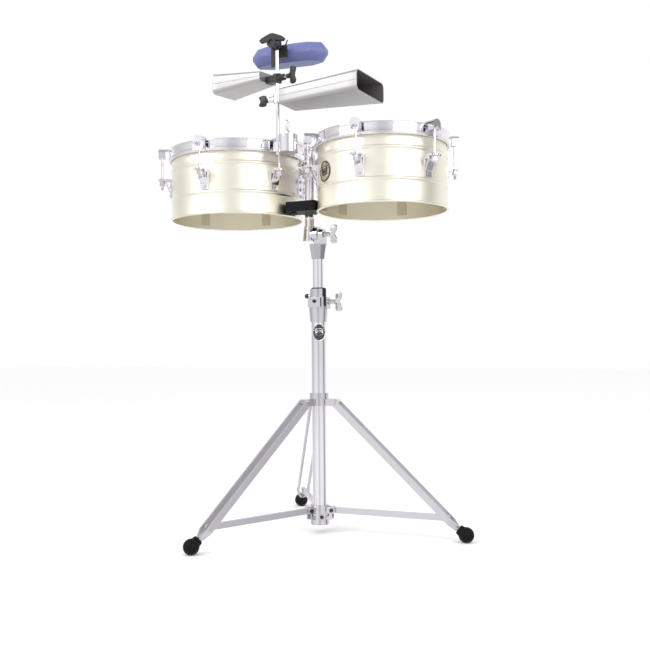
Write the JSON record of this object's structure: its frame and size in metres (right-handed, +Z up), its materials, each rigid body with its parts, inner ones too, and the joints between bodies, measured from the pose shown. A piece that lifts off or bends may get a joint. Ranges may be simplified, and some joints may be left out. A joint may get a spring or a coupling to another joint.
{
  "type": "timbales",
  "caption": "Pair of open-bottomed metal drums on a height-adjustable folding tripod stand, with a tilter and a rod carrying bells and a block.",
  "frame": {"origin": "on the floor under the middle of the bounding box", "axes": "+Z up; X runs along the line of the two drum centres with the large drum at -X; -Y is the front, where the accessory rod stands"},
  "size_m": [0.8407, 0.7084, 1.27],
  "materials": {
    "chrome": "polished",
    "steel": "satin",
    "shell_brass": "polished",
    "badge_brass": "satin",
    "bell_steel": "brushed",
    "black_nylon": "satin",
    "badge_black": "gloss",
    "drumhead": "coated",
    "black_metal": "satin",
    "block_blue": "gloss",
    "rubber": "matte"
  },
  "bodies": {
    "frame": {"base_tube": "chrome", "height_clamp": "chrome", "clamp_bushing": "black_nylon", "clamp_fasteners": "steel", "stand_badge": "badge_black", "leg_collar": "chrome", "collar_rivets": "steel"},
    "clamp_nut": {"clamp_wing_nut": "chrome"},
    "hub": {"hub": "chrome", "hub_fasteners": "steel"},
    "leg_a": {"leg_a": "chrome", "foot_a": "rubber"},
    "leg_b": {"leg_b": "chrome", "foot_b": "rubber"},
    "leg_c": {"leg_c": "chrome", "foot_c": "rubber"},
    "brace_a": {"brace_a": "chrome"},
    "brace_b": {"brace_b": "chrome"},
    "brace_c": {"brace_c": "chrome"},
    "upper": {"upper_tube": "chrome", "tilter_base": "chrome", "tilter_bolt": "chrome"},
    "tilter_nut": {"tilter_wing_nut": "chrome"},
    "tilter": {"tilter_socket": "chrome", "drum_post": "chrome", "rest_bar": "rubber", "holder": "chrome"},
    "left_drum": {"left_shell": "shell_brass", "left_head": "drumhead", "left_hoop": "chrome", "left_hooks": "chrome", "left_tension_nuts": "chrome", "left_lugs": "chrome", "left_strips": "steel", "left_screws": "steel", "left_bracket": "chrome"},
    "left_bolt": {"left_wing_bolt": "chrome"},
    "right_drum": {"right_shell": "shell_brass", "right_head": "drumhead", "right_hoop": "chrome", "right_hooks": "chrome", "right_tension_nuts": "chrome", "right_lugs": "chrome", "right_strips": "steel", "right_screws": "steel", "right_bracket": "chrome", "drum_badge": "badge_brass"},
    "right_bolt": {"right_wing_bolt": "chrome"},
    "holder_bolt": {"holder_wing_bolt": "chrome"},
    "rod": {"rail": "chrome"},
    "small_bell": {"small_bell": "bell_steel", "small_bell_clamp": "black_metal"},
    "small_bell_bolt": {"small_bell_wing": "black_metal"},
    "big_bell": {"big_bell": "bell_steel", "big_bell_clamp": "chrome"},
    "big_bell_bolt": {"big_bell_wing": "black_metal"},
    "block": {"block": "block_blue", "block_bracket": "black_metal"},
    "block_bolt": {"block_handle": "black_metal"}
  },
  "joints": [
    {"name": "leg_b_fold", "type": "hinge", "parent": "frame", "child": "leg_b", "pos_m": [0.05754, 0.01251, 0.34], "axis": [-0.0523, 0.9986, 0], "range_deg": [0, 38.19]},
    {"name": "leg_a_fold", "type": "hinge", "parent": "frame", "child": "leg_a", "pos_m": [-0.00928, -0.03089, 0.34], "axis": [0.891, -0.454, 0], "range_deg": [0, 38.19]},
    {"name": "leg_c_fold", "type": "hinge", "parent": "frame", "child": "leg_c", "pos_m": [-0.01345, 0.04868, 0.34], "axis": [-0.8387, -0.5446, 0], "range_deg": [0, 38.19]},
    {"name": "hub_slide", "type": "slide", "parent": "frame", "child": "hub", "axis": [0, 0, 1], "range_m": [0, 0.17328]},
    {"name": "brace_a_fold", "type": "hinge", "parent": "hub", "child": "brace_a", "pos_m": [-0.00474, -0.02198, 0.06], "axis": [0.891, -0.454, 0], "range_deg": [0, 76.97]},
    {"name": "brace_b_fold", "type": "hinge", "parent": "hub", "child": "brace_b", "pos_m": [0.04755, 0.01198, 0.06], "axis": [-0.0523, 0.9986, 0], "range_deg": [0, 76.97]},
    {"name": "brace_c_fold", "type": "hinge", "parent": "hub", "child": "brace_c", "pos_m": [-0.00801, 0.04029, 0.06], "axis": [-0.8387, -0.5446, 0], "range_deg": [0, 76.97]},
    {"name": "clamp_wing_turn", "type": "hinge", "parent": "frame", "child": "clamp_nut", "pos_m": [0.0116, 0.0371, 0.604], "axis": [1, 0, 0], "continuous": true},
    {"name": "height_slide", "type": "slide", "parent": "frame", "child": "upper", "axis": [0, 0, 1], "range_m": [-0.07, 0.1]},
    {"name": "tilter_wing_turn", "type": "hinge", "parent": "upper", "child": "tilter_nut", "pos_m": [0.0316, 0.0101, 0.78], "axis": [1, 0, 0], "continuous": true},
    {"name": "drum_tilt", "type": "hinge", "parent": "upper", "child": "tilter", "pos_m": [0.0116, 0.0101, 0.78], "axis": [1, 0, 0], "range_deg": [-15, 25]},
    {"name": "left_drum_swivel", "type": "hinge", "parent": "tilter", "child": "left_drum", "pos_m": [-0.0114, 0.0101, 0.943], "axis": [0, 0, 1], "range_deg": [-10, 0]},
    {"name": "right_drum_swivel", "type": "hinge", "parent": "tilter", "child": "right_drum", "pos_m": [-0.0114, 0.0101, 0.967], "axis": [0, 0, 1], "range_deg": [0, 10]},
    {"name": "left_wing_turn", "type": "hinge", "parent": "left_drum", "child": "left_bolt", "pos_m": [-0.02166, -0.01809, 0.943], "axis": [-0.342, -0.9397, 0], "continuous": true},
    {"name": "right_wing_turn", "type": "hinge", "parent": "right_drum", "child": "right_bolt", "pos_m": [-0.02166, -0.01809, 0.967], "axis": [-0.342, -0.9397, 0], "continuous": true},
    {"name": "holder_wing_turn", "type": "hinge", "parent": "tilter", "child": "holder_bolt", "pos_m": [-0.0094, -0.1199, 1.04], "axis": [0, 0, 1], "continuous": true},
    {"name": "rod_turn", "type": "hinge", "parent": "tilter", "child": "rod", "pos_m": [-0.0374, -0.1199, 1], "axis": [0, 0, 1], "range_deg": [-45, 45]},
    {"name": "big_bell_swivel", "type": "hinge", "parent": "rod", "child": "big_bell", "pos_m": [-0.0374, -0.1199, 1.114], "axis": [0, 0, 1], "range_deg": [-90, 90]},
    {"name": "small_bell_swivel", "type": "hinge", "parent": "rod", "child": "small_bell", "pos_m": [-0.0374, -0.1199, 1.166], "axis": [0, 0, 1], "range_deg": [-90, 90]},
    {"name": "block_swivel", "type": "hinge", "parent": "rod", "child": "block", "pos_m": [-0.0374, -0.1199, 1.242], "axis": [0, 0, 1], "range_deg": [-90, 90]},
    {"name": "big_bell_wing_turn", "type": "hinge", "parent": "big_bell", "child": "big_bell_bolt", "pos_m": [-0.05735, -0.1185, 1.114], "axis": [-0.9976, 0.0698, 0], "continuous": true},
    {"name": "small_bell_wing_turn", "type": "hinge", "parent": "small_bell", "child": "small_bell_bolt", "pos_m": [-0.01808, -0.12508, 1.166], "axis": [0.9659, -0.2588, 0], "continuous": true},
    {"name": "block_handle_turn", "type": "hinge", "parent": "block", "child": "block_bolt", "pos_m": [-0.03513, -0.1458, 1.246], "axis": [0.0872, -0.9962, 0], "continuous": true}
  ],
  "couplings": [
    {"joint": "leg_a_fold", "follows": "leg_b_fold", "ratio": 1},
    {"joint": "leg_c_fold", "follows": "leg_b_fold", "ratio": 1},
    {"joint": "hub_slide", "follows": "leg_b_fold", "m_per_rad": 0.2598},
    {"joint": "brace_a_fold", "follows": "leg_b_fold", "ratio": 2.0147},
    {"joint": "brace_b_fold", "follows": "leg_b_fold", "ratio": 2.0147},
    {"joint": "brace_c_fold", "follows": "leg_b_fold", "ratio": 2.0147}
  ]
}
